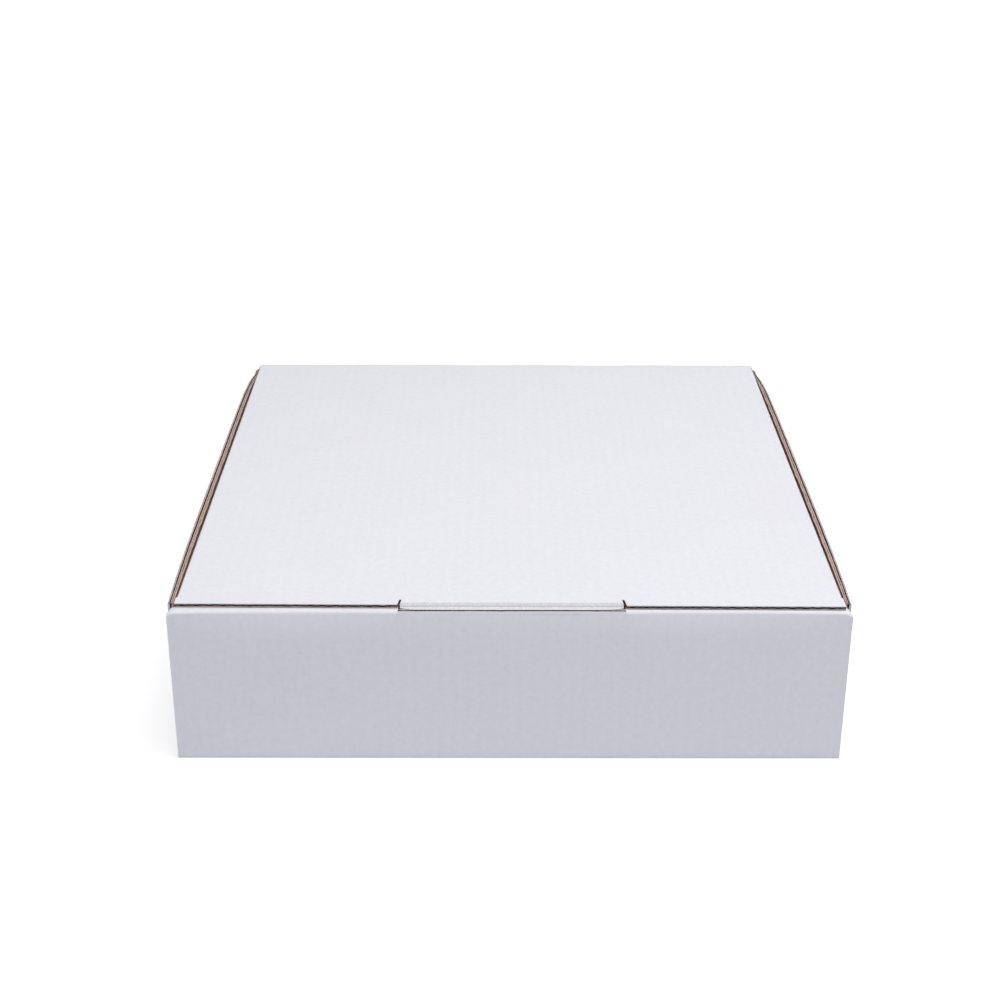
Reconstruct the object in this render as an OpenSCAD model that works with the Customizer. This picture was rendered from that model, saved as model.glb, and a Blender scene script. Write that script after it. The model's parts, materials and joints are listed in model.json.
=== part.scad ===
// Mailer box folded from one die-cut sheet of corrugated board, closed and empty.
// The tray has a rolled front wall that traps the front corner flaps. The lid swings on
// the crease at the top of the rear wall: its side wings tuck inside the side walls, and
// its front tab drops into the slot of the rolled front wall.
// Millimetres, +Z up, front towards -Y, origin under the middle of the base.

/* [Box] */
// Clear width between the side walls
inner_w = 330; // [220:1:420]
// Clear depth between the rolled front wall and the rear corner flaps
inner_d = 330; // [220:1:420]
// Clear height between the base and the lid
inner_h = 81; // [60:1:140]

/* [Board] */
// Thickness of the corrugated board
board = 2.8; // [2.2:0.1:3.4]
// Thickness of one flat liner of the board
liner = 0.45; // [0.3:0.05:0.6]
// Thickness of the wavy paper between the liners
medium = 0.3; // [0.2:0.05:0.4]
// Distance from one flute to the next
flute_pitch = 6.5; // [5:0.1:9]
// Depth of the open flutes behind a cut edge
flute_depth = 5; // [2:0.5:8]
// Outside radius of a folded crease
fold_r = 1.6; // [1:0.1:2]
// Outside radius of the creases of the rolled front wall and of the closing tab
roll_r = 2.4; // [1.6:0.1:2.8]
// Thickness of the lid where it is pressed thinner over the rolled front wall
pressed = 2; // [1.7:0.1:2.4]

/* [Clearances] */
// Gap between the lid and the tray
fit_gap = 0.3; // [0.2:0.05:0.5]
// Gap beside a flap that is tucked between two layers
flap_gap = 0.5; // [0.3:0.1:0.8]
// Gap between each lid wing and its side wall
wing_gap = 0.6; // [0.4:0.1:1.5]

/* [Side walls] */
// Outward bulge of each side wall at the middle of its top edge
side_bow = 1.1; // [0:0.1:3]
// Spread of the torn top edge of a side wall, beyond the thickness of the board
side_splay = 0.5; // [0:0.1:1]
// Step from the top of the lid down to the top of the side walls
side_step = 0.3; // [0:0.1:2]
// Fall of the side walls' top edge towards the rear corner
rear_fall = 4; // [0:0.5:6]
// Length of the stretch over which the top edge falls
rear_fall_l = 50; // [20:5:80]

/* [Corner flaps] */
// Length of each corner flap along the front or rear wall
flap_l = 92; // [40:1:100]
// Narrowing of a corner flap at its free end, above and below
flap_taper = 7; // [0:0.5:12]
// Corner radius of the flaps, wings and tab
flap_r = 8; // [3:0.5:12]

/* [Lid] */
// Setback of the lid's front edge from the front face, at the middle
lid_setback = 3.6; // [2.5:0.1:6]
// Difference in setback between the two ends of the front edge, which isn't quite square
lid_skew = 2.5; // [0:0.1:3]
// Drop of the side wings below the lid
wing_drop = 55; // [30:1:56]
// Slope of the wing ends, beyond what the swing of the lid needs
wing_taper = 6; // [2:0.5:15]

/* [Closing tab] */
// Width of the tab
tab_w = 110; // [80:1:120]
// Distance of the tab from the middle of the box, to the right
tab_x = 1; // [-3:0.5:3]
// Drop of the tab below the lid
tab_drop = 19; // [12:0.5:24]
// Gap between the closed tab and the front wall, beyond what its swing needs
tab_gap = 0.9; // [0.3:0.1:1.5]
// Narrowing of the tab at each side of its free end
tab_taper = 4; // [0:0.5:8]
// Gap at each end of the tab in its slot
slot_slack = 0.8; // [0.4:0.1:2]
// Length of the relief cuts beside the tab
relief_l = 5; // [3:0.5:10]
// Width of the relief cuts
relief_w = 1.2; // [0.8:0.1:2]
// Lean of the relief cuts towards the middle, in degrees
relief_lean = 9; // [0:1:15]

/* [Base locks] */
// Width of each lock tab under the inner front panel
lock_w = 40; // [20:1:60]
// Distance of each lock tab from the middle of the box
lock_x = 95; // [60:1:100]

/* [Rolled front wall] */
// Narrowing of the roll at each end, from its front crease to the side wall
roll_taper = 1.8; // [0.5:0.1:2.4]

/* [Hidden] */
$fn = 48;
over = 1;

// Width of an open flute, and of its curved floor, as shares
flute_open = 0.82;
flute_floor = 0.91;
// Edges of the torn layers of a side wall, as shares of its core
torn_layers = [0.4, 0.45, 0.55, 0.6, 0.8, 0.85];
// Radius of the outer liner's curled edge
curl_r = 0.9;

swing = tab_drop * tab_drop / (2 * inner_d) + tab_gap;
roll_gap = swing + board + flap_gap;
roll_d = 2 * board + roll_gap;
rear_d = 2 * board + fit_gap;
outer_w = inner_w + 2 * board;
outer_d = inner_d + roll_d + rear_d;
y_front = -outer_d / 2;
y_rear = outer_d / 2;
lid_z = board + inner_h;
top_z = lid_z + board;
rear_z = lid_z - fit_gap;
roll_z = top_z - pressed - fit_gap;
side_z = top_z - side_step;
lid_w = inner_w - 2 * wing_gap;
flap_y = y_front + board + flap_gap;
side_y1 = flap_y + board;
side_y2 = y_rear - board - fit_gap;
flap_low = board + flap_gap;
front_flap_h = roll_z - board - flap_gap - flap_low;
rear_flap_h = side_z - rear_fall - flap_gap - flap_low;
tab_y = y_front + board + swing;
wing_y1 = y_front + roll_d + wing_gap;
wing_y2 = side_y2 - board - wing_gap;
wing_slope = wing_taper + wing_drop * wing_drop / (2 * inner_d);
slot_w = tab_w + 2 * slot_slack;
panel_w = inner_w - 2 * wing_gap;
skew_angle = atan(lid_skew / lid_w);
cut_x = (tab_w + relief_w) / 2;

function unit(v) = v / norm(v);

// Outline with its corners rounded to the radii in the list
function rounded(points, radii, steps = 6) = [
    for (i = [0 : len(points) - 1])
        let (
            p = points[i],
            a = unit(points[(i + len(points) - 1) % len(points)] - p),
            b = unit(points[(i + 1) % len(points)] - p),
            half = acos(a * b) / 2,
            reach = radii[i] / tan(half),
            centre = p + unit(a + b) * radii[i] / sin(half)
        )
        for (k = [0 : radii[i] > 0 ? steps : 0])
            radii[i] > 0
                ? centre + radii[i] * unit((p + a * reach - centre) * (1 - k / steps)
                    + (p + b * reach - centre) * k / steps)
                : p
];

// Height of the wavy paper's middle above the inner face, u along the edge
function wave(u, thick) = thick / 2 + (thick / 2 - liner - medium / 2) * sin(360 * u / flute_pitch);

// Open cell under one liner, between two crests of the wavy paper
module flute_cell(thick, steps = 2) {
    reach = flute_open * flute_pitch / 2;
    polygon([
        [-reach, thick - liner],
        for (k = [-steps : steps])
            let (u = k * flute_floor * reach / steps)
            [u, wave(u - flute_pitch / 4, thick) + medium / 2],
        [reach, thick - liner]
    ]);
}

// Row of open flutes behind a cut edge of the given length, centred on it
module open_flutes(edge, thick = board) {
    count = floor(edge / flute_pitch);
    linear_extrude(flute_depth + over)
        for (i = [0 : count - 1]) {
            translate([(i + 3 / 4 - count / 2) * flute_pitch, 0])
                flute_cell(thick);
            translate([(i + 1 / 4 - count / 2) * flute_pitch, thick])
                mirror([0, 1])
                    flute_cell(thick);
        }
}

// Two slits between the layers of an edge that is cut along the flutes
module edge_slits(edge) {
    slit = (board - 2 * liner - 2 * medium) / 2;
    for (v = [liner, board - liner - slit])
        translate([-edge / 2, v, -over])
            cube([edge, slit, board / 2 + over]);
}

// Section of a crease: a board corner with its outside edge rounded at the origin
module bend_section(r = fold_r) {
    intersection() {
        translate([r, r])
            circle(r);
        square(r);
    }
    translate([r, 0])
        square([board - r, board]);
    translate([0, r])
        square([board, board - r]);
}

// Crease along X, with its rounded outside edge towards -Y and -Z
module bend_x(length, r = fold_r) {
    translate([-length / 2, 0, 0])
        rotate([90, 0, 90])
            linear_extrude(length)
                bend_section(r);
}

// Crease along Y, with its rounded outside edge towards +X and -Z
module bend_y(y1, y2) {
    translate([0, y2, 0])
        mirror([1, 0, 0])
            rotate([90, 0, 0])
                linear_extrude(y2 - y1)
                    bend_section();
}

// Share of a side wall's bulge at a place along its length, from 0 at its ends
function bow_share(y) =
    1 - pow((2 * y - side_y1 - side_y2 + board) / (side_y2 - board - side_y1), 4);

// How far a side wall stands out at a place along its length and height. Its outer skin,
// where skin is 1, spreads further beside the torn top edge
function stand_out(y, z, skin) =
    bow_share(y) * (side_bow * (z - board) / (side_z - board)
        + skin * side_splay * max(0, 1 - (side_z - z) / (2 * board)));

// Height of a side wall's top edge, as a share of its full height
function side_share(y) =
    let (into = max(0, 1 - (side_y2 - board - y) / rear_fall_l))
    1 - rear_fall * into * into / (side_z - board);

// Section of a side wall, with the torn slits between its layers along the top. The third
// value of a point is 1 on the outer skin
function side_section() =
    let (
        inner = inner_w / 2,
        outer = outer_w / 2,
        layer = [for (share = torn_layers) inner + share * (board - liner - medium)]
    )
    [
        [inner, board, 0],
        [outer, board, 1],
        [outer, side_z - 2 * board, 1],
        for (k = [0 : 3])
            [outer - curl_r + curl_r * cos(30 * k), side_z - curl_r + curl_r * sin(30 * k), 1],
        [layer[5], side_z, 0],
        [layer[4], side_z - board, 0],
        [layer[3], side_z - board, 0],
        [layer[2], side_z - medium, 0],
        [layer[1], side_z - medium, 0],
        [layer[0], side_z - board / 2, 0],
        [inner + liner, side_z - board / 2, 0],
        [inner + liner, side_z, 0],
        [inner, side_z, 0]
    ];

// Side wall swept along Y as one smooth bulge
module side_wall(rings = 20) {
    section = side_section();
    count = len(section);
    // The section's end faces, split between the slits into convex pieces
    end_face = [
        [8, 1, 2, 3, 4, 5, 6, 7],
        [0, 1, 8, 9],
        [0, 9, 10, 11, 12],
        [0, 12, 13],
        [0, 13, 14, 15]
    ];
    points = [
        for (i = [0 : rings])
            let (y = side_y1 + (side_y2 - board - side_y1) * i / rings)
            for (p = section)
                [p.x + stand_out(y, p.y, p.z), y, board + (p.y - board) * side_share(y)]
    ];
    faces = [
        for (piece = end_face)
            [for (k = [len(piece) - 1 : -1 : 0]) piece[k]],
        for (piece = end_face)
            [for (k = piece) rings * count + k],
        for (i = [0 : rings - 1])
            for (k = [0 : count - 1])
                let (a = i * count + k, b = i * count + (k + 1) % count)
                each [[a, b, a + count], [b, b + count, a + count]]
    ];
    polyhedron(points, faces);
}

// Corner flap in the XZ plane, from the crease at x = 0 towards -X
module corner_flap(height) {
    free_h = height - 2 * flap_taper;
    difference() {
        rotate([90, 0, 0])
            linear_extrude(board)
                polygon(rounded(
                    [[0, 0], [0, height], [-flap_l, height - flap_taper], [-flap_l, flap_taper]],
                    [0, 0, flap_r, flap_r]
                ));
        translate([-flap_l - over, -board, height / 2])
            rotate([0, 90, 0])
                open_flutes(free_h - 2 * flap_r);
    }
}

// Right side wall with its creases and its two corner flaps
module side_panel() {
    inner = inner_w / 2;
    side_wall();
    translate([outer_w / 2, 0, 0])
        bend_y(y_front + board, y_rear - board);
    translate([outer_w / 2, flap_y, board])
        mirror([1, 0, 0])
            linear_extrude(front_flap_h + flap_gap)
                bend_section();
    translate([outer_w / 2, side_y2, board])
        mirror([1, 0, 0])
            mirror([0, 1, 0])
                linear_extrude(side_z - rear_fall - board)
                    bend_section();
    translate([inner, flap_y + board, flap_low])
        corner_flap(front_flap_h);
    translate([inner, side_y2, flap_low])
        corner_flap(rear_flap_h);
}

// Right half of the roll's outline in plan, narrowing towards the side wall
function roll_end() =
    let (side_y = side_y1 - flap_gap)
    [
        [outer_w / 2, y_front],
        [outer_w / 2, y_front + roll_r],
        [outer_w / 2 - roll_taper, side_y],
        [panel_w / 2, side_y],
        [panel_w / 2, y_front + roll_d]
    ];

// Front wall rolled over at the top and down again inside, with its closing slot
module front_wall() {
    difference() {
        intersection() {
            union() {
                translate([0, y_front, roll_z])
                    mirror([0, 0, 1])
                        bend_x(outer_w, roll_r);
                translate([0, y_front + roll_d, roll_z])
                    mirror([0, 1, 0])
                        mirror([0, 0, 1])
                            bend_x(outer_w, roll_r);
                translate([-outer_w / 2, y_front, board])
                    cube([outer_w, board, roll_z - 2 * board]);
                translate([-outer_w / 2, y_front + board, roll_z - board])
                    cube([outer_w, roll_gap, board]);
                translate([-outer_w / 2, y_front + board + roll_gap, board + fit_gap])
                    cube([outer_w, board, roll_z - 2 * board - fit_gap]);
            }
            linear_extrude(roll_z)
                for (s = [0, 1])
                    mirror([s, 0])
                        polygon([[-over, y_front], each roll_end(), [-over, y_front + roll_d]]);
        }
        translate([tab_x - slot_w / 2, y_front - over, roll_z - board - over])
            cube([slot_w, roll_d - board + over, board + 2 * over]);
    }
    translate([tab_x - slot_w / 2, y_front, roll_z - board - over])
        cube([slot_w, board, board + over]);
    for (s = [-1, 1])
        translate([s * lock_x - lock_w / 2, y_front + roll_d - board, fit_gap])
            cube([lock_w, board, board]);
}

module tray() {
    color([0.9, 0.9, 0.93])
        difference() {
            union() {
                translate([-inner_w / 2, y_front + board, 0])
                    cube([inner_w, outer_d - 2 * board, board]);
                translate([0, y_front, 0])
                    bend_x(outer_w);
                translate([0, y_rear, 0])
                    mirror([0, 1, 0])
                        bend_x(outer_w);
                translate([-outer_w / 2, y_rear - board, board])
                    cube([outer_w, board, rear_z - board]);
                for (s = [0, 1])
                    mirror([s, 0, 0])
                        side_panel();
                front_wall();
            }
            translate([tab_x, y_front, roll_z - flute_depth])
                open_flutes(tab_w);
            lock_slots();
            for (s = [0, 1])
                mirror([s, 0, 0])
                    wall_slits();
        }
}

// Ring of free space round each lock tab in the base
module lock_slots() {
    for (s = [-1, 1])
        difference() {
            translate([s * lock_x - lock_w / 2 - flap_gap, y_front + roll_d - board - fit_gap, -over])
                cube([lock_w + 2 * flap_gap, board + 2 * fit_gap, board + over]);
            translate([s * lock_x - lock_w / 2, y_front + roll_d - board, fit_gap])
                cube([lock_w, board, board]);
        }
}

// Slits in the upright cut edges of the front and rear walls
module wall_slits() {
    height = roll_z - 2 * board;
    for (y = [y_front, y_rear - board])
        translate([outer_w / 2, y, roll_z / 2])
            rotate([0, -90, 0])
                edge_slits(height);
}

// Side wing of the lid, hanging inside the right side wall
module wing() {
    x = lid_w / 2;
    lean = atan(wing_slope / wing_drop);
    edge = wing_drop / cos(lean) - 2 * flap_r - board;
    difference() {
        translate([x - board, 0, 0])
            rotate([90, 0, 90])
                linear_extrude(board)
                    polygon(rounded(
                        [
                            [wing_y1, lid_z],
                            [wing_y2, lid_z],
                            [wing_y2 - wing_slope, lid_z - wing_drop],
                            [wing_y1 + wing_slope, lid_z - wing_drop]
                        ],
                        [0, 0, flap_r, flap_r]
                    ));
        for (s = [0, 1])
            translate([0, (wing_y1 + wing_y2) / 2, lid_z])
                mirror([0, s, 0])
                    translate([x, (wing_y1 - wing_y2) / 2, 0])
                        rotate([lean, 0, 0])
                            translate([0, -over, -edge / 2 - flap_r / 2])
                                rotate([-90, 0, 0])
                                    rotate([0, 0, 90])
                                        open_flutes(edge);
        translate([x, (wing_y1 + wing_y2) / 2, lid_z - wing_drop])
            rotate([0, 0, 90])
                edge_slits(wing_y2 - wing_y1 - 2 * wing_slope - 2 * flap_r);
    }
}

module lid() {
    color([0.95, 0.95, 0.97])
        difference() {
            union() {
                lid_panel();
                for (s = [0, 1])
                    mirror([s, 0, 0])
                        wing();
                tab();
            }
            for (s = [-1, 1]) {
                ends = [tab_x + s * slot_w / 2, s * lid_w / 2];
                relief_cut(s);
                translate([0, y_front + lid_setback, top_z - pressed])
                    rotate([0, 0, -skew_angle])
                        translate([(ends[0] + ends[1]) / 2, flute_depth, 0])
                            rotate([90, 0, 0])
                                open_flutes(abs(ends[1] - ends[0]) - 2 * relief_w, pressed);
            }
        }
}

// Place of the lid's front edge at a distance from the middle
function lid_front(x) = y_front + lid_setback - lid_skew * x / lid_w;

// Flat top of the lid: round at the hinge crease, folded down at the wings and pressed
// thinner over the rolled front wall
module lid_panel() {
    hinge_y = y_rear - board / 2;
    translate([-lid_w / 2, hinge_y, lid_z + board / 2])
        rotate([0, 90, 0])
            cylinder(h = lid_w, d = board);
    translate([-lid_w / 2 + board, wing_y1, lid_z])
        cube([lid_w - 2 * board, hinge_y - wing_y1, board]);
    translate([0, 0, top_z - pressed])
        linear_extrude(pressed)
            polygon([
                for (x = [-lid_w / 2, tab_x - cut_x])
                    [x, lid_front(x)],
                [tab_x - cut_x, tab_y + board],
                [tab_x + cut_x, tab_y + board],
                for (x = [tab_x + cut_x, lid_w / 2])
                    [x, lid_front(x)],
                [lid_w / 2, wing_y1],
                [-lid_w / 2, wing_y1]
            ]);
    for (s = [0, 1])
        mirror([s, 0, 0]) {
            translate([lid_w / 2, 0, top_z])
                mirror([0, 0, 1])
                    bend_y(wing_y1, wing_y2);
            translate([lid_w / 2 - board, wing_y2, lid_z])
                cube([board, hinge_y - wing_y2, board]);
        }
}

// Closing tab, folded down at the front edge of the lid
module tab() {
    translate([tab_x, tab_y, 0])
        difference() {
            union() {
                translate([0, 0, top_z])
                    mirror([0, 0, 1])
                        bend_x(tab_w, roll_r);
                translate([-tab_w / 2, board, top_z - pressed])
                    cube([tab_w, board, pressed]);
                translate([0, board, lid_z])
                    rotate([90, 0, 0])
                        linear_extrude(board)
                            polygon(rounded(
                                [
                                    [-tab_w / 2, 0],
                                    [-tab_w / 2 + tab_taper, -tab_drop],
                                    [tab_w / 2 - tab_taper, -tab_drop],
                                    [tab_w / 2, 0]
                                ],
                                [0, flap_r, flap_r, 0]
                            ));
            }
            translate([0, 0, lid_z - tab_drop - over])
                open_flutes(tab_w - 2 * tab_taper - 2 * flap_r);
        }
}

// Relief cut beside the tab, from the front edge into the lid
module relief_cut(s) {
    translate([tab_x + s * cut_x, y_front + lid_setback, lid_z - over])
        rotate([0, 0, s * relief_lean]) {
            translate([-relief_w / 2, -board, 0])
                cube([relief_w, relief_l + board, board + 2 * over]);
            translate([0, relief_l, 0])
                cylinder(h = board + 2 * over, d = relief_w);
        }
}

tray();
lid();
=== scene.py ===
"""Looks of a closed mailer box, folded from one sheet of white-faced corrugated board.

The sheet is dressed from its two solids. Each face is told apart as white outer liner,
brown inner liner, cut edge or torn flute, and carries the flat sheet's own coordinates,
so that the paper's grain, washboard lines and layers follow the board round every fold.
The copies are then sliced finely beside their cut edges, which are frayed a little, and the
liners that cross the lid's crease are added as two strips.
"""

import json
import math
from collections import namedtuple

import bmesh
import bpy
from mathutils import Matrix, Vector, noise

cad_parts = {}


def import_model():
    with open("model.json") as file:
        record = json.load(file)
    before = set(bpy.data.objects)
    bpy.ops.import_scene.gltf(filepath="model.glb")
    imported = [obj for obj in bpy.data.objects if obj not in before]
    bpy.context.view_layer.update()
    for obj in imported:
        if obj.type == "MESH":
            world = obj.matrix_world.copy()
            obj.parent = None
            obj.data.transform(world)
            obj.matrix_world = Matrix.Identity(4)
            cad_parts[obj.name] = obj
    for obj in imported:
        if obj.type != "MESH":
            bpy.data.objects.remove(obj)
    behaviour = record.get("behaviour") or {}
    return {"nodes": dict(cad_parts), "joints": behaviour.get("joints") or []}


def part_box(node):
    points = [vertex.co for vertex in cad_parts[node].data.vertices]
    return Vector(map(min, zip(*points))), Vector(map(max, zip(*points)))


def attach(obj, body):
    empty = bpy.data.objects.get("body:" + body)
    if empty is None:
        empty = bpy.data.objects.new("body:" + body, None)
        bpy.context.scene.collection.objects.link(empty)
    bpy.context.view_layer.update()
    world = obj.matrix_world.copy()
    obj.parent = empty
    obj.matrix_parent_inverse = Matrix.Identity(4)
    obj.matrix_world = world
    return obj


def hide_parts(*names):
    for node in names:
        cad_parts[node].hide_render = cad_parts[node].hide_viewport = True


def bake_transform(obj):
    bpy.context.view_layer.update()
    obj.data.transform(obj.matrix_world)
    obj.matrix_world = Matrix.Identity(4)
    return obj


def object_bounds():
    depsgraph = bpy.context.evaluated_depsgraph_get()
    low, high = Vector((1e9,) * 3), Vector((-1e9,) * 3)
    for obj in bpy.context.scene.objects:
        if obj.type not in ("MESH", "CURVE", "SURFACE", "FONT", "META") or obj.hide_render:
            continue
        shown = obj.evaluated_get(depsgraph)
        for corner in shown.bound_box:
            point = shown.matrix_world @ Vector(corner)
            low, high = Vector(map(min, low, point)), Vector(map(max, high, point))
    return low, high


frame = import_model()
cad_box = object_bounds()

MM = 0.001

# Sizes of the sheet, as in the solids
BOARD = 2.8 * MM
PRESSED = 2 * MM
LINER = 0.45 * MM
FLUTE_PITCH = 6.5 * MM
FIT_GAP = 0.3 * MM
FLAP_GAP = 0.5 * MM
WING_GAP = 0.6 * MM
SIDE_BOW = 1.1 * MM
SIDE_SPLAY = 0.5 * MM
REAR_FALL = 4 * MM
REAR_FALL_L = 50 * MM
ROLL_D = 10.347 * MM
INNER_W = 330 * MM
OUTER_W = INNER_W + 2 * BOARD
LID_W = INNER_W - 2 * WING_GAP
LID_SETBACK = 3.6 * MM
LID_SKEW = 2.5 * MM
TAB_W = 110 * MM
TAB_X = 1 * MM
SLOT_W = TAB_W + 1.6 * MM
TAB_SETBACK = 4.247 * MM

# Places, worked out from the corners of the solids
TRAY_LOW, TRAY_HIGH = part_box("tray")
LID_LOW, LID_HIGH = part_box("lid")
Y_FRONT = TRAY_LOW.y
Y_REAR = TRAY_HIGH.y
SIDE_Z = TRAY_HIGH.z
TOP_Z = LID_HIGH.z
LID_Z = TOP_Z - BOARD
REAR_Z = LID_Z - FIT_GAP
ROLL_Z = TOP_Z - PRESSED - FIT_GAP
FLAP_Y = Y_FRONT + BOARD + FLAP_GAP
SIDE_Y1 = FLAP_Y + BOARD
SIDE_Y2 = Y_REAR - BOARD - FIT_GAP
LID_FRONT = Y_FRONT + LID_SETBACK + LID_SKEW
TAB_Y = Y_FRONT + TAB_SETBACK
WING_Y1 = Y_FRONT + ROLL_D + WING_GAP
WING_Y2 = SIDE_Y2 - BOARD - WING_GAP
HINGE = Vector(frame["joints"][0]["pos_m"])

# Fraying of the cut edges, and spread of the torn top edges of the side walls. The core
# shares are depths from the inner liner, as shares of the board's thickness.
FRAY = 0.09 * MM
TORN_DEEP = 3 * MM
LINER_CURL = 0.7 * MM
CORE_CURL = 0.3 * MM
CORE_SPREAD = 0.12 * MM
CORE_WIDENING = 0.3 * MM
CORE_RISE = 0.8 * MM
CURLED_LINER, CURLED_CORE, SPREAD_CORE = 0.3, 0.36, 0.5
SKIN_WAVE = 0.12 * MM
EDGE_FALL = 0.16 * MM

# Lean of the front wall's top, the sharper crease of the roll and the lip of the tab's fold
ROLL_R = 2.4 * MM
CREASED_R = 1.5 * MM
LEAN = 1.5 * MM
LEAN_H = 14 * MM
TAB_LEAN = 0.85 * MM
LIP = 2.0 * MM
LIP_TOP = TOP_Z - 1.65 * MM
LIP_TIP = TOP_Z - 2.1 * MM
LIP_LOW = TOP_Z - 2.22 * MM

# Rounded ends of the front wall's roll and of the rear wall's top
END_FALL = 1.8 * MM
END_L = 4.5 * MM
REAR_END_H = 6 * MM

# Where the white corners of the side walls give way to their torn top edges
LEFT_CORNER_Y = Y_FRONT + 5.6 * MM
RIGHT_CORNER_Y = Y_FRONT + 4 * MM

# Bend of the lid's rear edge towards its crease, and the stretch beside it that is painted with shade
CREASE_L = 2.4 * MM
CREASE_R = 6.5 * MM
CREASE_SHADE_L = 1 * MM

# Height up to which the front wall's foot is painted with shade, a contact shadow
FOOT_SHADE_H = 1 * MM

# Camera of the photograph, fitted to the corners of the box
CAMERA_PLACE = (-0.00814, -0.90797, 0.48042)
CAMERA_PITCH = 24.559
CAMERA_YAW = 0.243
CAMERA_ROLL = -0.185
CAMERA_LENS = 61.51

# Faces of the board, in the order of the material slots
WHITE, KRAFT, CUT, FLUTE, TORN, FLUTE_END = range(6)

X, Y, Z = Vector((1, 0, 0)), Vector((0, 1, 0)), Vector((0, 0, 1))

# A panel of the folded sheet: its box, the way its white side faces and its flutes run
Panel = namedtuple("Panel", "low high out across along")


def add_node(tree, kind, values=None, **settings):
    """A shader node, each named input set to a value or linked to a socket."""
    made = tree.nodes.new(kind)
    for key, value in settings.items():
        setattr(made, key, value)
    for key, value in (values or {}).items():
        if isinstance(value, bpy.types.NodeSocket):
            tree.links.new(value, made.inputs[key])
        else:
            made.inputs[key].default_value = value
    return made


def maths(tree, operation, first, second=0.0, clamp=False):
    values = {0: first, 1: second}
    return add_node(tree, "ShaderNodeMath", values, operation=operation, use_clamp=clamp).outputs[0]


def noise_at(tree, coordinate, scale, detail=4.0, stretch=(1, 1, 1)):
    """Noise from 0 to 1, with scale features to the metre."""
    vector = add_node(tree, "ShaderNodeVectorMath", {0: coordinate, 1: stretch}, operation="MULTIPLY")
    values = {"Vector": vector.outputs[0], "Scale": scale, "Detail": detail, "Roughness": 0.6}
    return add_node(tree, "ShaderNodeTexNoise", values).outputs["Fac"]


def between(tree, value, low, high, low_out=0.0, high_out=1.0):
    """Value from low to high, mapped smoothly and held at both ends."""
    names = ("Value", "From Min", "From Max", "To Min", "To Max")
    values = dict(zip(names, (value, low, high, low_out, high_out)))
    node = add_node(tree, "ShaderNodeMapRange", values, interpolation_type="SMOOTHSTEP")
    return node.outputs["Result"]


def mix_colour(tree, share, first, second):
    node = add_node(tree, "ShaderNodeMix", data_type="RGBA")
    for index, value in ((0, share), (6, first), (7, second)):
        if isinstance(value, bpy.types.NodeSocket):
            tree.links.new(value, node.inputs[index])
        else:
            node.inputs[index].default_value = value
    return node.outputs[2]


def new_material(name, roughness, specular):
    """A material, its node tree, its shader and the sheet's coordinates."""
    material = bpy.data.materials.new(name)
    material.use_nodes = True
    tree = material.node_tree
    shader = tree.nodes["Principled BSDF"]
    shader.inputs["Roughness"].default_value = roughness
    shader.inputs["Specular IOR Level"].default_value = specular
    sheet = add_node(tree, "ShaderNodeAttribute", attribute_name="sheet").outputs["Vector"]
    return material, tree, shader, sheet


def set_surface(tree, shader, colour, height, depth, strength=1.0):
    """Colour and relief of a material. The relief is depth high where height is 1."""
    tree.links.new(colour, shader.inputs["Base Color"])
    values = {"Height": height, "Distance": depth, "Strength": strength}
    bump = add_node(tree, "ShaderNodeBump", values)
    tree.links.new(bump.outputs["Normal"], shader.inputs["Normal"])


def shaded(tree, colour, *shares):
    """Colour made lighter and darker by (noise, amount) pairs round its own value."""
    level = 1.0
    for value, amount in shares:
        swing = maths(tree, "MULTIPLY", maths(tree, "SUBTRACT", value, 0.5), amount)
        level = maths(tree, "ADD", swing, level)
    node = add_node(tree, "ShaderNodeVectorMath", operation="SCALE")
    if isinstance(colour, bpy.types.NodeSocket):
        tree.links.new(colour, node.inputs[0])
    else:
        node.inputs[0].default_value = colour[:3]
    tree.links.new(level, node.inputs["Scale"])
    return node.outputs[0]


def flute_wave(tree, across):
    """The flutes' wave across the sheet, from -1 to 1."""
    return maths(tree, "SINE", maths(tree, "MULTIPLY", across, 2 * math.pi / FLUTE_PITCH))


def washboard(tree, sheet):
    """Height of the faint ridges that the flutes leave in a liner, from 0 to 1."""
    across = add_node(tree, "ShaderNodeSeparateXYZ", {0: sheet}).outputs[0]
    return maths(tree, "ADD", maths(tree, "MULTIPLY", flute_wave(tree, across), 0.5), 0.5)


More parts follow.
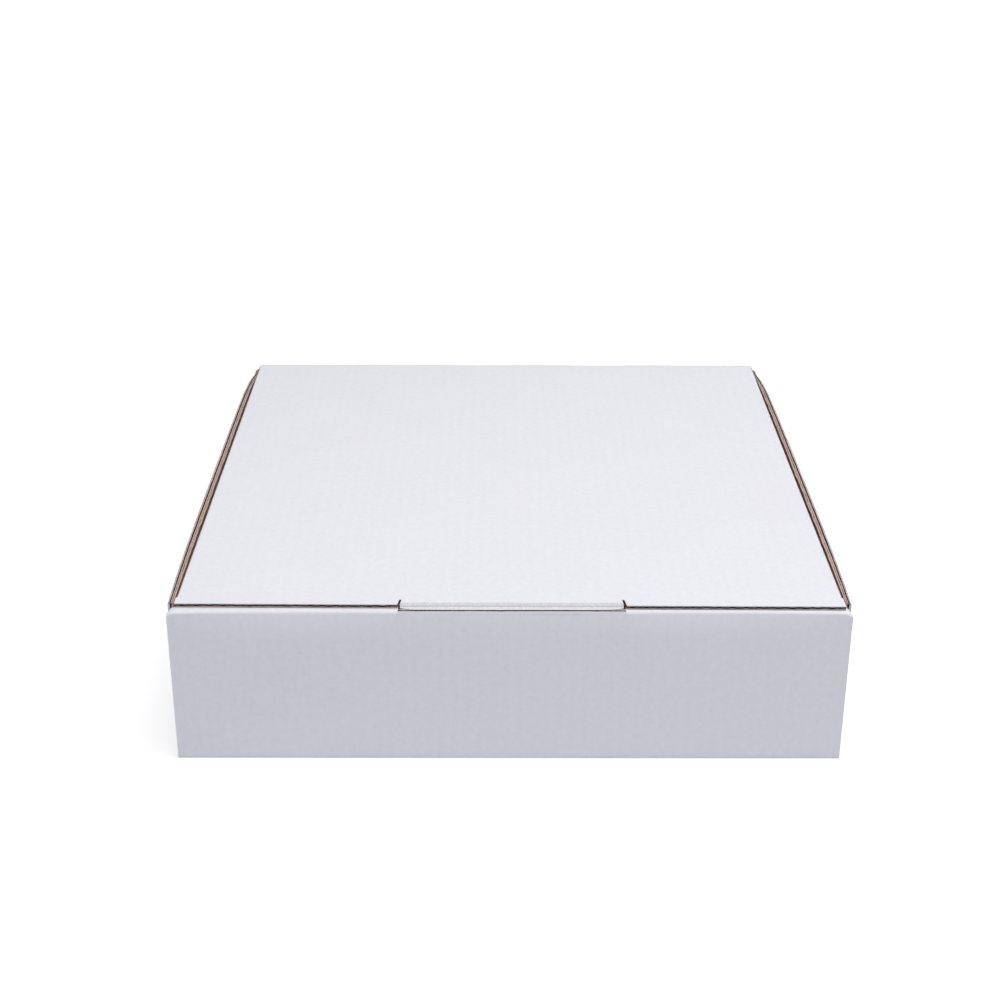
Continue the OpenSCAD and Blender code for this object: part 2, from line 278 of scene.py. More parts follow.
def white_liner():
    """Matt white paper: fine mottling, fibres, a few specks, faint washboard lines and grey painted shade
    where the vertices call for it.
    """
    material, tree, shader, sheet = new_material("white_liner", 0.72, 0.3)
    cloud = noise_at(tree, sheet, 22, 3)
    mottle = noise_at(tree, sheet, 330, 6)
    grain = noise_at(tree, sheet, 1900, 2)
    fibres = noise_at(tree, sheet, 700, 3, stretch=(1, 0.25, 1))
    ridges = washboard(tree, sheet)
    shares = ((cloud, 0.035), (mottle, 0.12), (grain, 0.05), (fibres, 0.05), (ridges, 0.008))
    white = shaded(tree, (0.845, 0.845, 0.90), *shares)
    stain = between(tree, noise_at(tree, sheet, 9, 2), 0.6, 0.8, 0.0, 0.4)
    white = mix_colour(tree, stain, white, (0.85, 0.835, 0.855, 1))
    cells = add_node(tree, "ShaderNodeTexVoronoi", {"Vector": sheet, "Scale": 38.0})
    lone = add_node(tree, "ShaderNodeSeparateColor", {0: cells.outputs["Color"]}).outputs[0]
    speck = between(tree, cells.outputs["Distance"], 0.007, 0.012, 1.0, 0.0)
    speck = maths(tree, "MULTIPLY", speck, between(tree, lone, 0.55, 0.6, 0.0, 0.6))
    white = mix_colour(tree, speck, white, (0.45, 0.42, 0.44, 1))
    # Painted shade: grey mixed in, unevenly, where the vertices carry a share of it: the torn tops of the
    # side walls, the lid's rear crease, the tab's fold and the front wall's foot
    painted_shade = add_node(tree, "ShaderNodeAttribute", attribute_name="painted_shade").outputs["Fac"]
    shade_share = maths(tree, "MULTIPLY", painted_shade, between(tree, noise_at(tree, sheet, 900, 4), 0.3, 0.6, 0.45, 1.0))
    white = mix_colour(tree, shade_share, white, (0.43, 0.405, 0.41, 1))
    relief = maths(tree, "ADD", maths(tree, "MULTIPLY", mottle, 0.5), maths(tree, "MULTIPLY", fibres, 0.5))
    relief = maths(tree, "ADD", relief, maths(tree, "MULTIPLY", ridges, 0.6))
    set_surface(tree, shader, white, relief, 0.03 * MM, 0.6)
    return material


def kraft_liner():
    """Brown inner paper with long fibres, darker flecks and washboard lines."""
    material, tree, shader, sheet = new_material("kraft_liner", 0.82, 0.2)
    cloud = noise_at(tree, sheet, 40, 4)
    fibres = noise_at(tree, sheet, 900, 5, stretch=(1, 0.12, 1))
    flecks = between(tree, noise_at(tree, sheet, 1300, 3, stretch=(1, 0.3, 1)), 0.62, 0.72, 0.0, 0.35)
    ridges = washboard(tree, sheet)
    kraft = shaded(tree, (0.40, 0.262, 0.185), (cloud, 0.2), (fibres, 0.35), (ridges, 0.06))
    kraft = mix_colour(tree, flecks, kraft, (0.2, 0.12, 0.08, 1))
    relief = maths(tree, "ADD", fibres, maths(tree, "MULTIPLY", ridges, 1.2))
    set_surface(tree, shader, kraft, relief, 0.06 * MM, 0.7)
    return material


def cut_edge():
    """The layers of the board where it is cut: white skin, wavy flute paper with near-black painted shade
    for the open flutes between its waves, tan inner liner.
    """
    material, tree, shader, sheet = new_material("cut_edge", 0.9, 0.1)
    across, _, depth = add_node(tree, "ShaderNodeSeparateXYZ", {0: sheet}).outputs
    ragged = noise_at(tree, sheet, 1500, 4)
    shift = maths(tree, "MULTIPLY", maths(tree, "SUBTRACT", ragged, 0.5), 0.5 * MM)
    layer = maths(tree, "ADD", depth, shift)
    tear = noise_at(tree, sheet, 2600, 4)
    swing = maths(tree, "MULTIPLY", flute_wave(tree, across), BOARD / 2 - 1.4 * LINER)
    off_wave = maths(tree, "SUBTRACT", maths(tree, "SUBTRACT", layer, BOARD / 2), swing)
    wave = between(tree, maths(tree, "ABSOLUTE", off_wave), 0.15 * MM, 0.4 * MM, 1.0, 0.0)
    # Near-black painted shade where the open flutes would be hollow
    painted_cell_shade = shaded(tree, (0.085, 0.055, 0.047), (tear, 0.8))
    flute = shaded(tree, (0.36, 0.26, 0.225), (tear, 1.0), (ragged, 0.5))
    core = mix_colour(tree, wave, painted_cell_shade, flute)
    tan = shaded(tree, (0.56, 0.45, 0.42), (tear, 0.6))
    skin = shaded(tree, (0.80, 0.785, 0.80), (tear, 0.3))
    inner = between(tree, layer, BOARD - 1.15 * LINER, BOARD - 0.8 * LINER)
    outer = between(tree, layer, 0.75 * LINER, 1.1 * LINER, 1.0, 0.0)
    colour = mix_colour(tree, inner, core, tan)
    colour = mix_colour(tree, outer, colour, skin)
    set_surface(tree, shader, colour, tear, 0.15 * MM, 0.8)
    return material


def flute_paper(name, colour):
    """The wavy paper inside the board: deep in its open flutes, where the near-black colour given stands in
    as painted shade, or at their cut ends.
    """
    material, tree, shader, sheet = new_material(name, 0.95, 0.05)
    fibres = noise_at(tree, sheet, 1800, 4, stretch=(1, 0.3, 1))
    brown = shaded(tree, colour, (fibres, 0.8))
    set_surface(tree, shader, brown, fibres, 0.08 * MM, 0.8)
    return material


def torn_core():
    """Crushed flutes along the torn top of a side wall: tan paper with slanting creases."""
    material, tree, shader, sheet = new_material("torn_core", 0.9, 0.1)
    slant = add_node(tree, "ShaderNodeVectorRotate", {"Vector": sheet, "Angle": 0.6})
    hatch = noise_at(tree, slant.outputs[0], 1100, 3, stretch=(1, 0.3, 1))
    fibres = noise_at(tree, sheet, 2200, 4, stretch=(1, 0.3, 1))
    tan = shaded(tree, (0.58, 0.41, 0.35), (hatch, 0.9), (fibres, 0.5))
    dark = between(tree, noise_at(tree, sheet, 420, 3), 0.58, 0.7, 0.0, 0.6)
    tan = mix_colour(tree, dark, tan, (0.24, 0.15, 0.12, 1))
    set_surface(tree, shader, tan, hatch, 0.3 * MM, 0.8)
    return material


def side_share(y):
    """Height of a side wall's top edge, as a share of its full height."""
    into = max(0.0, 1 - (SIDE_Y2 - BOARD - y) / REAR_FALL_L)
    return 1 - REAR_FALL * into * into / (SIDE_Z - BOARD)


def bow_share(y):
    """Share of a side wall's bulge at a place along its length, from 0 at its ends."""
    middle = (SIDE_Y1 + SIDE_Y2 - BOARD) / 2
    along = (y - middle) / ((SIDE_Y2 - BOARD - SIDE_Y1) / 2)
    return max(0.0, 1 - along ** 4)


def is_side_wall(panel):
    return abs(panel.out.x) > 0.5 and panel.high[2] == SIDE_Z


def straightened(point, panel):
    """Point of a bulging side wall, moved to where it lies on the flat wall."""
    if not is_side_wall(panel):
        return point
    z = BOARD + (point.z - BOARD) / side_share(point.y)
    bow = SIDE_BOW * max(0.0, z - BOARD) / (SIDE_Z - BOARD)
    flat = abs(point.x) - bow_share(point.y) * bow
    if flat - INNER_W / 2 > 0.55 * BOARD:
        flat -= bow_share(point.y) * SIDE_SPLAY * max(0.0, 1 - (SIDE_Z - z) / (2 * BOARD))
    return Vector((math.copysign(flat, point.x), point.y, z))


def thickness(panel):
    return abs(sum((panel.high[i] - panel.low[i]) * panel.out[i] for i in range(3)))


def depth_in(point, panel):
    """How far a point lies below the white side of a panel."""
    edge = panel.high if sum(panel.out) > 0 else panel.low
    return (Vector(edge) - straightened(point, panel)).dot(panel.out)


def layer_depth(point, panel):
    """Depth in a panel as if it had the full thickness of the board."""
    depth = depth_in(point, panel)
    thick = thickness(panel)
    return depth if depth < thick / 2 else depth + BOARD - thick


def holds(panel, point, slack=0.08 * MM):
    place = straightened(point, panel)
    return all(panel.low[i] - slack <= place[i] <= panel.high[i] + slack for i in range(3))


def tray_panels():
    """Panels of the tray, outside and inside."""
    half = OUTER_W / 2
    inner_y = Y_FRONT + ROLL_D
    slot_low, slot_high = TAB_X - SLOT_W / 2, TAB_X + SLOT_W / 2
    panels = [
        Panel((-half, Y_FRONT, 0), (half, Y_REAR, BOARD), -Z, X, Y),
        Panel((-half, Y_FRONT, 0), (half, Y_FRONT + BOARD, ROLL_Z), -Y, X, Z),
        Panel((-half, Y_REAR - BOARD, 0), (half, Y_REAR, REAR_Z), Y, X, Z),
        Panel((-half, Y_FRONT, ROLL_Z - BOARD), (slot_low, inner_y, ROLL_Z), Z, X, Y),
        Panel((slot_high, Y_FRONT, ROLL_Z - BOARD), (half, inner_y, ROLL_Z), Z, X, Y),
        Panel((-half, inner_y - BOARD, 0), (half, inner_y, ROLL_Z), Y, X, Z),
    ]
    inner = INNER_W / 2
    for s in (-1, 1):
        low, high = sorted((s * inner, s * half))
        panels.append(Panel((low, FLAP_Y, 0), (high, SIDE_Y2, SIDE_Z), s * X, Z, Y))
        low, high = sorted((0, s * half))
        panels.append(Panel((low, FLAP_Y, BOARD), (high, SIDE_Y1, ROLL_Z), -Y, Z, X))
        panels.append(Panel((low, SIDE_Y2 - BOARD, BOARD), (high, SIDE_Y2, REAR_Z), Y, Z, X))
    return panels


def lid_panels():
    """Panels of the lid: its top, its pressed front strip, its closing tab and its two wings."""
    half = LID_W / 2
    tab_low, tab_high = TAB_X - TAB_W / 2, TAB_X + TAB_W / 2
    panels = [
        Panel((-half, WING_Y1, LID_Z), (half, Y_REAR, TOP_Z), Z, X, Y),
        Panel((-half, Y_FRONT, TOP_Z - PRESSED), (half, WING_Y1, TOP_Z), Z, X, Y),
        Panel((tab_low, TAB_Y, LID_LOW.z), (tab_high, TAB_Y + BOARD, TOP_Z), -Y, X, Z),
    ]
    for s in (-1, 1):
        low, high = sorted((s * (half - BOARD), s * half))
        panels.append(Panel((low, WING_Y1, LID_LOW.z), (high, WING_Y2, TOP_Z), s * X, Z, Y))
    return panels


def corner_y(x):
    """Where the torn top edge of the left or the right side wall begins."""
    return LEFT_CORNER_Y if x < 0 else RIGHT_CORNER_Y


def torn_kind(centre, depth, normal, out):
    """Which layer a face of a side wall's torn top edge belongs to."""
    if centre.y < corner_y(centre.x):
        return WHITE
    if depth < 0.45 * BOARD:
        return WHITE if normal.dot(out) > -0.3 else FLUTE
    if depth > BOARD - 1.1 * LINER:
        return CUT
    return TORN if normal.z > 0.5 else FLUTE


def face_kind(centre, normal, corners, panels):
    """Which side of the board a face is, and the number of its panel."""
    near = [panel for panel in panels if holds(panel, centre)]
    if not near:
        near = sorted(panels, key=lambda panel: abs(depth_in(centre, panel)))[:1]
    outward = [panel for panel in near if normal.dot(panel.out) > 0.5]
    for panel in outward:
        if depth_in(centre, panel) < LINER * 0.9 or len(outward) > 1:
            return WHITE, panels.index(panel)
    for panel in near:
        if normal.dot(panel.out) < -0.5 and depth_in(centre, panel) > thickness(panel) - LINER / 2:
            return KRAFT, panels.index(panel)
    panel = min(near, key=lambda panel: abs(normal.dot(panel.out)))
    walls = [panel for panel in near if is_side_wall(panel)]
    if walls and straightened(centre, walls[0]).z > SIDE_Z - 1.1 * BOARD:
        kind = torn_kind(centre, depth_in(centre, walls[0]), normal, walls[0].out)
        return kind, panels.index(walls[0])
    depths = [depth_in(corner, panel) for corner in corners]
    inside = min(depths) > LINER * 0.8 and max(depths) < thickness(panel) - LINER * 0.8
    return (FLUTE if inside else CUT), panels.index(panel)


def slice_at(shape, axis, places, faces=None):
    """Cuts faces, or all of them, by planes across an axis."""
    for place in places:
        chosen = [f for f in shape.faces if faces is None or faces(f)]
        edges = dict.fromkeys(edge for face in chosen for edge in face.edges)
        verts = dict.fromkeys(vert for face in chosen for vert in face.verts)
        parts = chosen + list(edges) + list(verts)
        bmesh.ops.bisect_plane(shape, geom=parts, dist=0.01 * MM, plane_co=axis * place, plane_no=axis)


def steps(start, end, size):
    """Places from start to end, about size apart."""
    count = max(1, round((end - start) / size))
    return [start + (end - start) * (i + 0.5) / count for i in range(count)]


def slice_board(shape, name):
    """Finer faces beside the cut edges, where the board frays, and at the lid's crease."""
    if name == "tray":
        slice_at(shape, Z, (SIDE_Z - TORN_DEEP, SIDE_Z - TORN_DEEP / 2))
        in_roll = before(Y_FRONT + ROLL_D)
        slice_at(shape, Z, [ROLL_Z - down * MM for down in (0.3, 1, 2, 3, 4.5, 6, 8, 10, 12, 14)], in_roll)
        ends = [s * (OUTER_W / 2 - k * END_L / 5) for s in (-1, 1) for k in range(1, 6)]
        slice_at(shape, X, steps(-OUTER_W / 2, OUTER_W / 2, 8 * MM) + ends, in_roll)
        slice_at(shape, Z, (FOOT_SHADE_H,), before(Y_FRONT + BOARD))
        in_rear_wall = behind(Y_REAR - BOARD - 0.1 * MM)
        slice_at(shape, Z, (REAR_Z - REAR_END_H,), in_rear_wall)
        slice_at(shape, X, ends, in_rear_wall)
        slice_at(shape, Y, steps(SIDE_Y1, SIDE_Y2 - BOARD, 2.6 * MM), in_torn_edge)
    else:
        crease = HINGE.y - CREASE_L
        slice_at(shape, Y, (LID_FRONT, LID_FRONT + 2 * MM, *steps(crease, HINGE.y, 0.5 * MM)))
        slice_at(shape, Z, (LIP_LOW, LIP_TIP, *steps(LIP_TIP, LIP_TOP, 0.2 * MM), LIP_TOP), in_tab)
        slice_at(shape, X, steps(-LID_W / 2, LID_W / 2, 2.2 * MM), before(LID_FRONT + 0.1 * MM))
        slice_at(shape, X, steps(-LID_W / 2, LID_W / 2, 12 * MM), behind(crease - 0.1 * MM))


def in_tab(face):
    return all(abs(v.co.x - TAB_X) < TAB_W / 2 + MM and v.co.y < TAB_Y + 2 * BOARD for v in face.verts)


def before(y):
    """A test for faces that lie wholly in front of a place."""
    return lambda face: all(v.co.y < y for v in face.verts)


def behind(y):
    """A test for faces that lie wholly behind a place."""
    return lambda face: all(v.co.y > y for v in face.verts)


def at_side(face):
    return all(abs(v.co.x) > INNER_W / 2 - 0.1 * MM for v in face.verts)


def in_torn_edge(face):
    high = face.calc_center_median().z > SIDE_Z - REAR_FALL - TORN_DEEP
    return high and at_side(face) and all(v.co.y > SIDE_Y1 - 0.1 * MM for v in face.verts)


def ripple(point, size, seed=0.0):
    """Smooth noise from -1 to 1, with ripples about size long."""
    return noise.noise(point / size + Vector((seed, seed, seed)))


def torn(point, panel):
    """Shift of a vertex in the torn top of a side wall, and how much painted shade it gets there."""
    flat = straightened(point, panel)
    near = max(0.0, 1 - (SIDE_Z - flat.z) / TORN_DEEP)
    spread = near * bow_share(point.y)
    inside = abs(flat.x) - INNER_W / 2
    shift = Vector()
    if point.y < corner_y(point.x) - 0.1 * MM:
        if 0.1 * BOARD < inside < 0.7 * BOARD and flat.z < SIDE_Z - 0.1 * MM:
            shift.z = SIDE_Z - 0.15 * MM - flat.z
        return shift, 0.25 * near
    if inside < CURLED_LINER * BOARD and inside < LINER + 0.1 * MM:
        shift -= panel.out * LINER_CURL * spread * (0.9 + 0.5 * ripple(point, 9 * MM))
    elif inside < CURLED_CORE * BOARD:
        shift -= panel.out * CORE_CURL * spread * (0.9 + 0.6 * ripple(point, 6 * MM))
    elif inside < SPREAD_CORE * BOARD:
        shift += panel.out * CORE_WIDENING * near * (0.9 + 0.3 * ripple(point, 7 * MM))
    else:
        pressed = (BOARD - inside) / (0.42 * BOARD) if inside < BOARD else 0.0
        shift += panel.out * CORE_SPREAD * near * pressed
        shift += panel.out * SKIN_WAVE * spread * ripple(point, 14 * MM)
    row = SIDE_Z - TORN_DEEP / 2
    if row - 0.1 * MM < flat.z < row + 0.3 * MM and 0 < inside < SPREAD_CORE * BOARD:
        shift += Z * CORE_RISE * (0.8 + 0.6 * ripple(point, 3 * MM))
    if near > 0.8:
        shift -= Z * EDGE_FALL * (1 + ripple(point, 5 * MM, 3.0))
    return shift, near


def crease_drop(point):
    """How far the top of the lid has come down where it bends into its rear crease."""
    into = min(point.y, HINGE.y) - (HINGE.y - CREASE_L)
    if into <= 0 or point.z <= HINGE.z:
        return 0.0
    drop = into * into / (2 * CREASE_R) * (1 + 0.4 * ripple(X * point.x, 40 * MM, 7.0))
    return drop * (point.z - HINGE.z) / (TOP_Z - HINGE.z)


def roll_shift(point):
    """Shift that leans the front wall's top back and makes the roll's front crease sharper."""
    shift = Vector()
    into, down = point.y - Y_FRONT, ROLL_Z - point.z
    if not (-0.01 * MM <= into < ROLL_D and -0.01 * MM <= down < LEAN_H):
        return shift
    on_arc = abs(math.hypot(ROLL_R - into, ROLL_R - down) - ROLL_R) < 0.05 * MM
    if on_arc and into < ROLL_R + 0.01 * MM and down < ROLL_R + 0.01 * MM:
        share = 1 - CREASED_R / ROLL_R
        shift = Vector((0, -into * share, down * share))
    width = 1 - (abs(point.x) / (OUTER_W / 2)) ** 6
    level = (1 - max(0.0, down - shift.z) / LEAN_H) ** 2
    wave = 1 + 0.15 * ripple(X * point.x, 45 * MM, 11.0)
    beside = min(1.0, max(0.0, abs(point.x - TAB_X) - TAB_W / 2 - MM) / (12 * MM))
    lean = TAB_LEAN + (LEAN - TAB_LEAN) * beside
    shift.y += lean * level * max(0.0, width) * wave * (1 - (into + shift.y) / ROLL_D)
    beyond = max(0.0, 1 - (OUTER_W / 2 - abs(point.x)) / END_L)
    shift.z -= END_FALL * beyond * beyond * max(0.0, 1 - down / LEAN_H)
    return shift


def rear_end_shift(point):
    """Shift that rounds the top corners of the rear wall."""
    if point.y < Y_REAR - BOARD - 0.1 * MM:
        return Vector()
    beyond = max(0.0, 1 - (OUTER_W / 2 - abs(point.x)) / END_L)
    return -Z * END_FALL * beyond * beyond * max(0.0, 1 - (REAR_Z - point.z) / REAR_END_H)


def tab_shift(point):
    """Shift that spreads the tab's crushed fold forwards, over the cut edge of the front wall."""
    beside = abs(point.x - TAB_X) / (TAB_W / 2 + 0.2 * MM)
    if beside > 1 or point.y > TAB_Y + 0.9 * BOARD or not LIP_LOW < point.z < LIP_TOP:
        return Vector()
    if point.z > LIP_TIP:
        level = (LIP_TOP - point.z) / (LIP_TOP - LIP_TIP)
    else:
        level = (point.z - LIP_LOW) / (LIP_TIP - LIP_LOW)
    wave = 1 + 0.08 * ripple(X * point.x, 30 * MM, 5.0)
    return -Y * LIP * level * wave * (1 - beside ** 14)


def fold_shade(point):
    """How much painted shade the lid's paper gets at its rear crease and at the tab's fold."""
    if point.y > HINGE.y - CREASE_SHADE_L and point.z > HINGE.z:
        return 0.5 + 0.2 * ripple(X * point.x, 45 * MM, 9.0)
    if abs(point.x - TAB_X) > TAB_W / 2 or point.y > TAB_Y + 0.8 * ROLL_R or point.z < LIP_LOW:
        return 0.0
    return 0.42 if point.z > LIP_TOP else 0.3


def foot_shade(point):
    """How much painted shade, a contact shadow, the front wall gets where it meets the floor."""
    return 0.5 if point.z < FOOT_SHADE_H / 2 and point.y < Y_FRONT + BOARD else 0.0


def frayed(vert):
    """Shift of a vertex on a cut edge, along the paper that ends there."""
    kinds = {face.material_index for face in vert.link_faces}
    if not kinds & {CUT, FLUTE, TORN, FLUTE_END}:
        return Vector()
    fine = noise.noise_vector(vert.co / (2.4 * MM))
    coarse = noise.noise_vector(vert.co / (11 * MM))
    shift = FRAY * (fine + 0.8 * coarse)
    for face in vert.link_faces:
        if face.material_index in (WHITE, KRAFT):
            shift -= face.normal * shift.dot(face.normal)
    return shift


def face_fixed(name, face, kind):
    """Kind of a face, put right where the crease was parted."""
    centre = face.calc_center_median()
    if name == "lid" and centre.y > HINGE.y + 0.1 * MM and kind == CUT:
        return WHITE if face.normal.z > -0.1 else KRAFT
    if name == "lid" and kind == FLUTE and face.normal.y < -0.5 and centre.y < LID_FRONT + MM:
        return FLUTE_END
    if name == "tray" and centre.y > Y_REAR - BOARD and face.normal.z > 0.9 and kind == CUT:
        return KRAFT
    at_corner = centre.y < corner_y(centre.x) and abs(centre.x) > INNER_W / 2
    if name == "tray" and at_corner and face.normal.y < -0.5:
        return WHITE
    return kind


def dress(name, panels, materials):
    """A copy of a solid with its faces told apart, in place of the solid."""
    source = frame["nodes"][name]
    mesh = bpy.data.meshes.new(name + "_sheet")
    made = bpy.data.objects.new(name + "_sheet", mesh)
    bpy.context.scene.collection.objects.link(made)
    shape = bmesh.new()
    shape.from_mesh(source.data)
    bmesh.ops.remove_doubles(shape, verts=shape.verts, dist=0.001 * MM)
    if name == "tray":
        slice_at(shape, Y, (LEFT_CORNER_Y, RIGHT_CORNER_Y), at_side)
    number = shape.faces.layers.int.new("panel")
    for face in shape.faces:
        corners = [vert.co for vert in face.verts]
        kind, index = face_kind(face.calc_center_median(), face.normal, corners, panels)
        face.material_index = face_fixed(name, face, kind)
        face[number] = index
        face.smooth = True
    slice_board(shape, name)
    sheet = shape.loops.layers.float_vector.new("sheet")
    # Share of painted shade at each vertex, which the white liner turns into grey
    painted_shade = shape.verts.layers.float.new("painted_shade")
    for face in shape.faces:
        panel = panels[face[number]]
        for loop in face.loops:
            place = loop.vert.co
            loop[sheet] = (place.dot(panel.across), place.dot(panel.along), layer_depth(place, panel))
    shifts = []
    for vert in shape.verts:
        shift = frayed(vert)
        walls = [panels[f[number]] for f in vert.link_faces if is_side_wall(panels[f[number]])]
        if walls and SIDE_Y1 - 0.1 * MM < vert.co.y < SIDE_Y2 - BOARD - MM:
            more, vert[painted_shade] = torn(vert.co, walls[0])
            shift += more
        if name == "lid":
            shift += tab_shift(vert.co) - Z * crease_drop(vert.co)
            vert[painted_shade] = fold_shade(vert.co)
        else:
            shift += roll_shift(vert.co) + rear_end_shift(vert.co)
            vert[painted_shade] = max(vert[painted_shade], foot_shade(vert.co))
        shifts.append(shift)
    for vert, shift in zip(shape.verts, shifts):
        place = vert.co + shift
        vert.co = [min(max(place[i], cad_box[0][i]), cad_box[1][i]) for i in range(3)]
    shape.normal_update()
    for edge in shape.edges:
        edge.smooth = edge.is_manifold and edge.calc_face_angle(0.0) < math.radians(32)
    shape.to_mesh(mesh)
    shape.free()
    for material in materials:
        mesh.materials.append(material)
    weighted = made.modifiers.new("even_normals", "WEIGHTED_NORMAL")
    weighted.keep_sharp = True
    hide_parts(name)
    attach(made, name)
    return made


def crease_strip(name, profile, back, material):
    """Strip of liner across the lid's crease. The profile is (y, z) from the hinge,
    and back leads to the strip's hidden side."""
    columns = [-LID_W / 2, *steps(-LID_W / 2, LID_W / 2, 6 * MM), LID_W / 2]
    front = [Vector((0, *place)) for place in profile]
    section = front + [place + Vector((0, *back)) for place in reversed(front)]
    shape = bmesh.new()
    sheet = shape.loops.layers.float_vector.new("sheet")
    grid = []
    for x in columns:
        places = [HINGE + X * x + place for place in section]
        grid.append([shape.verts.new(p - Y * 0.03 * MM * (1 + ripple(p, 5 * MM))) for p in places])
    faces = [shape.faces.new(grid[0][::-1]), shape.faces.new(grid[-1])]
    for left, right in zip(grid, grid[1:]):
        for k in range(len(section)):
            after = (k + 1) % len(section)
            faces.append(shape.faces.new((left[k], left[after], right[after], right[k])))
    bmesh.ops.recalc_face_normals(shape, faces=faces)
    for face in faces:
        face.smooth = True
        for loop in face.loops:
            loop[sheet] = (loop.vert.co.x, loop.vert.co.z + loop.vert.co.y, 0)
    mesh = bpy.data.meshes.new(name)
    shape.to_mesh(mesh)
    shape.free()
    mesh.materials.append(material)
    strip = bpy.data.objects.new(name, mesh)
    bpy.context.scene.collection.objects.link(strip)
    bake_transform(strip)
    return strip


def crease_liners(white, kraft):
    """The outer and the inner liner where they cross the lid's crease."""
    r = BOARD / 2
    low = REAR_Z - HINGE.z
    outside = [(r - 0.1 * MM, low - 0.3 * MM), (r, low)]
    for share in (0.2, 0.35, 0.45, 0.55, 0.65, 0.8):
        dent = 0.12 * MM * (1 - abs(share - 0.5) / 0.3)
        outside.append((r - max(0.0, dent), low * (1 - share)))
    outside += [(r, 0.0), (r - 0.08 * MM, 0.4 * MM)]
    crease_strip("crease_outside", outside, (-0.2 * MM, 0), white)
    inside = [(-r - 0.02 * MM, low - 0.7 * MM), (-r - 0.02 * MM, low - 0.2 * MM)]
    reach = 0.75 * MM
    for k in range(13):
        turn = math.radians(90 * k / 12)
        y = -r - 0.02 * MM - reach * (1 - math.cos(turn))
        inside.append((y, -r - 0.02 * MM - reach * (1 - math.sin(turn))))
    inside.append((-r - 0.02 * MM - 1.3 * reach, -r - 0.02 * MM))
    crease_strip("crease_inside", inside, (0.08 * MM, 0.08 * MM), kraft)


def make_floor():
    """Pale floor that looks white to the camera and keeps the box's soft shadow."""
    mesh = bpy.data.meshes.new("floor")
    reach = 9.0
    corners = [(-reach, -reach, 0), (reach, -reach, 0), (reach, reach, 0), (-reach, reach, 0)]
    mesh.from_pydata(corners, [], [(0, 1, 2, 3)])
    floor = bpy.data.objects.new("floor", mesh)
    bpy.context.scene.collection.objects.link(floor)
    material = bpy.data.materials.new("pale_floor")
    material.use_nodes = True
    tree = material.node_tree
    tree.nodes.clear()
    seen = add_node(tree, "ShaderNodeLightPath")
    plain = add_node(tree, "ShaderNodeBsdfDiffuse", {"Color": (0.68, 0.69, 0.72, 1)})
    shadowed = add_node(tree, "ShaderNodeBsdfDiffuse", {"Color": (0.5, 0.5, 0.5, 1)})
    place = add_node(tree, "ShaderNodeNewGeometry").outputs["Position"]
    away = add_node(tree, "ShaderNodeVectorMath", {0: place}, operation="LENGTH").outputs["Value"]
    level = between(tree, away, 0.4, 2.4, 0.66, 1.0)
    glow = add_node(tree, "ShaderNodeEmission", {"Color": (1, 1, 1, 1), "Strength": level})
    white = add_node(tree, "ShaderNodeAddShader", {0: shadowed.outputs[0], 1: glow.outputs[0]})
    direct = maths(tree, "MAXIMUM", seen.outputs["Is Camera Ray"], seen.outputs["Is Glossy Ray"])
    direct = maths(tree, "MAXIMUM", direct, seen.outputs["Is Transmission Ray"])
    values = {0: direct, 1: plain.outputs[0], 2: white.outputs[0]}
    look = add_node(tree, "ShaderNodeMixShader", values)
    add_node(tree, "ShaderNodeOutputMaterial", {"Surface": look.outputs[0]})
    mesh.materials.append(material)


def make_world(level, tint):
    """Even light from all round, and white where the camera looks past the floor."""
    world = bpy.data.worlds.new("studio")
    bpy.context.scene.world = world
    world.use_nodes = True
    tree = world.node_tree
    tree.nodes.clear()
    seen = add_node(tree, "ShaderNodeLightPath")
    soft = add_node(tree, "ShaderNodeBackground", {"Color": tint, "Strength": level})
    white = add_node(tree, "ShaderNodeBackground", {"Color": (1, 1, 1, 1), "Strength": 1.0})
    direct = maths(tree, "MAXIMUM", seen.outputs["Is Camera Ray"], seen.outputs["Is Glossy Ray"])
    direct = maths(tree, "MAXIMUM", direct, seen.outputs["Is Transmission Ray"])
    values = {0: direct, 1: soft.outputs[0], 2: white.outputs[0]}
    look = add_node(tree, "ShaderNodeMixShader", values)
    add_node(tree, "ShaderNodeOutputWorld", {"Surface": look.outputs[0]})


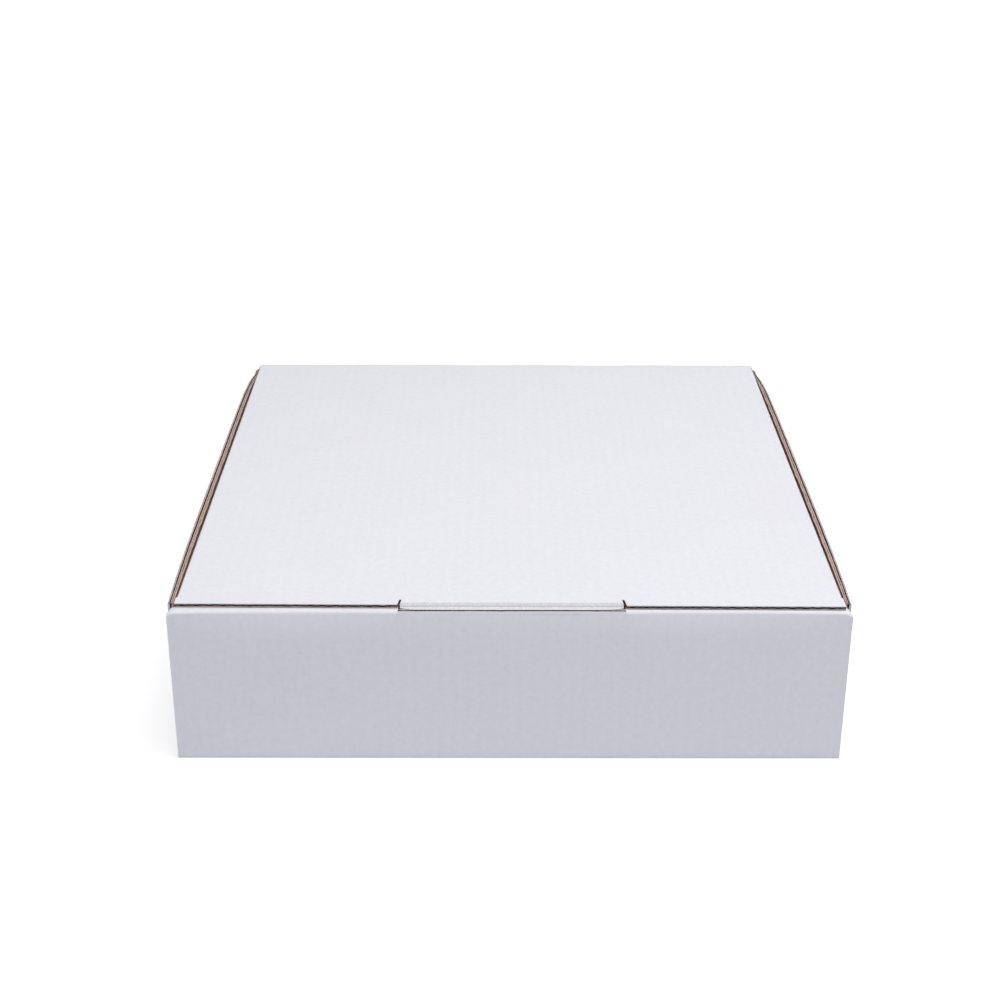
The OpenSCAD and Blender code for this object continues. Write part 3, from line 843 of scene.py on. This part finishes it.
def make_lamp(name, place, size, power, tint):
    """Square soft lamp that faces the middle of the box."""
    light = bpy.data.lights.new(name, "AREA")
    light.shape = "SQUARE"
    light.size = size
    light.energy = power
    light.color = tint[:3]
    lamp = bpy.data.objects.new(name, light)
    bpy.context.scene.collection.objects.link(lamp)
    lamp.location = place
    aim = Vector((0, 0, TOP_Z / 2)) - Vector(place)
    lamp.rotation_euler = aim.to_track_quat("-Z", "Y").to_euler()


def make_camera():
    """Camera at the photograph's place and angle."""
    pitch, yaw, roll = (math.radians(a) for a in (CAMERA_PITCH, CAMERA_YAW, CAMERA_ROLL))
    forward = Vector((math.sin(yaw) * math.cos(pitch), math.cos(yaw) * math.cos(pitch), -math.sin(pitch)))
    level = Vector((math.cos(yaw), -math.sin(yaw), 0))
    down = forward.cross(level)
    right = math.cos(roll) * level + math.sin(roll) * down
    down = math.cos(roll) * down - math.sin(roll) * level
    data = bpy.data.cameras.new("photo_camera")
    data.sensor_fit = "HORIZONTAL"
    data.sensor_width = 36
    data.lens = CAMERA_LENS
    camera = bpy.data.objects.new("photo_camera", data)
    bpy.context.scene.collection.objects.link(camera)
    turn = camera.matrix_world.to_3x3()
    for column, axis in enumerate((right, -down, -forward)):
        turn.col[column] = axis
    camera.matrix_world = turn.to_4x4()
    camera.location = CAMERA_PLACE
    bpy.context.scene.camera = camera


def main():
    bpy.context.scene.view_settings.view_transform = "Standard"
    make_camera()
    make_world(0.335, (0.94, 0.95, 1, 1))
    make_lamp("top_softbox", (0.33, -0.42, 1.7), 1.2, 22, (1, 0.988, 0.972))
    make_lamp("front_fill", (-1.3, -1.6, 0.5), 1.2, 2.7, (0.92, 0.94, 1))
    make_floor()
    # The paper deep in the open flutes is near black: painted shade
    painted_cell_shade = flute_paper("flute_paper", (0.07, 0.042, 0.036))
    flute_end = flute_paper("flute_end", (0.25, 0.185, 0.165))
    materials = [white_liner(), kraft_liner(), cut_edge(), painted_cell_shade, torn_core(), flute_end]
    dress("tray", tray_panels(), materials)
    dress("lid", lid_panels(), materials)
    crease_liners(materials[WHITE], materials[KRAFT])


main()
